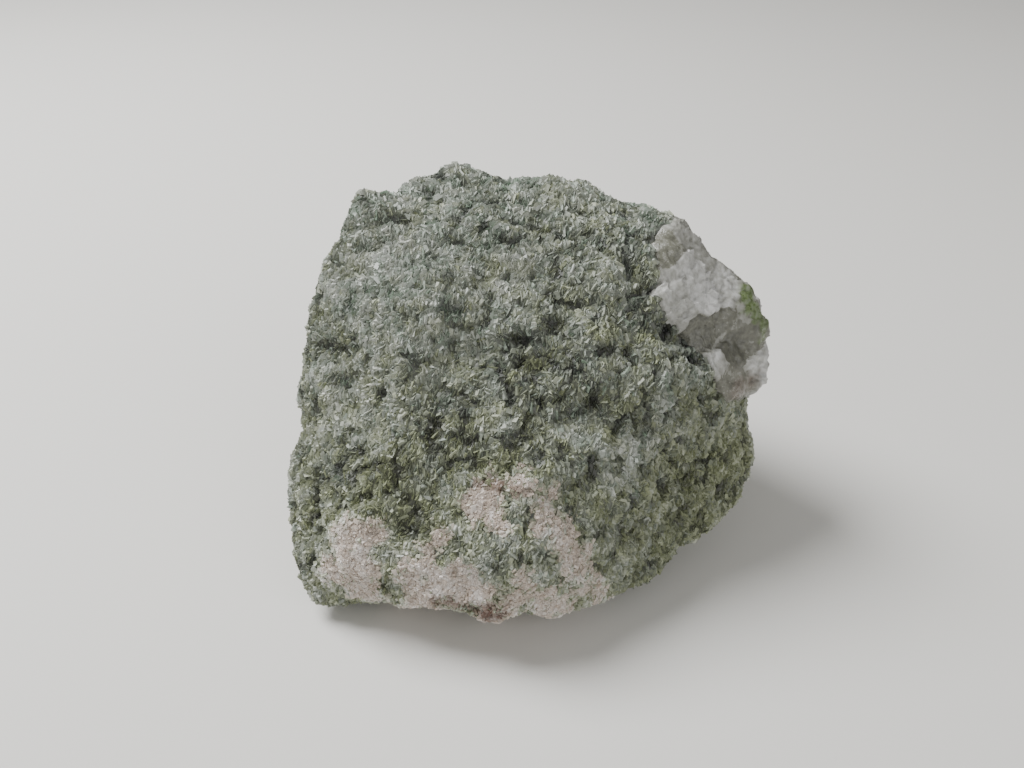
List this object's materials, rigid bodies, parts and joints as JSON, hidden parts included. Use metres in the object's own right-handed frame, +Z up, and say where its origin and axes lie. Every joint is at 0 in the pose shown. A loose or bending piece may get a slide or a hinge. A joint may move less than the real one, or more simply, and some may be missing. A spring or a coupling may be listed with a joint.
{
  "type": "raw diopside",
  "caption": "Hand specimen of raw granular diopside: a rough broken lump with a pale calcite band along its foot and a translucent quartz knob on its upper right shoulder.",
  "frame": {"origin": "on the flat resting face, under the centre of the rock's bounding box", "axes": "+X to the right along the broad sloping face, which is the longest extent; +Y away from that face, towards the back; +Z up from the resting face, the shortest extent"},
  "size_m": [0.0652, 0.0566, 0.0482],
  "materials": {
    "diopside_rock": "rough, granular broken rock: grey-green and dark green pyroxene grains, a pinkish-white calcite band and a grey-white translucent quartz knob"
  },
  "bodies": {
    "root": {"diopside_rock": "diopside_rock"}
  },
  "joints": []
}
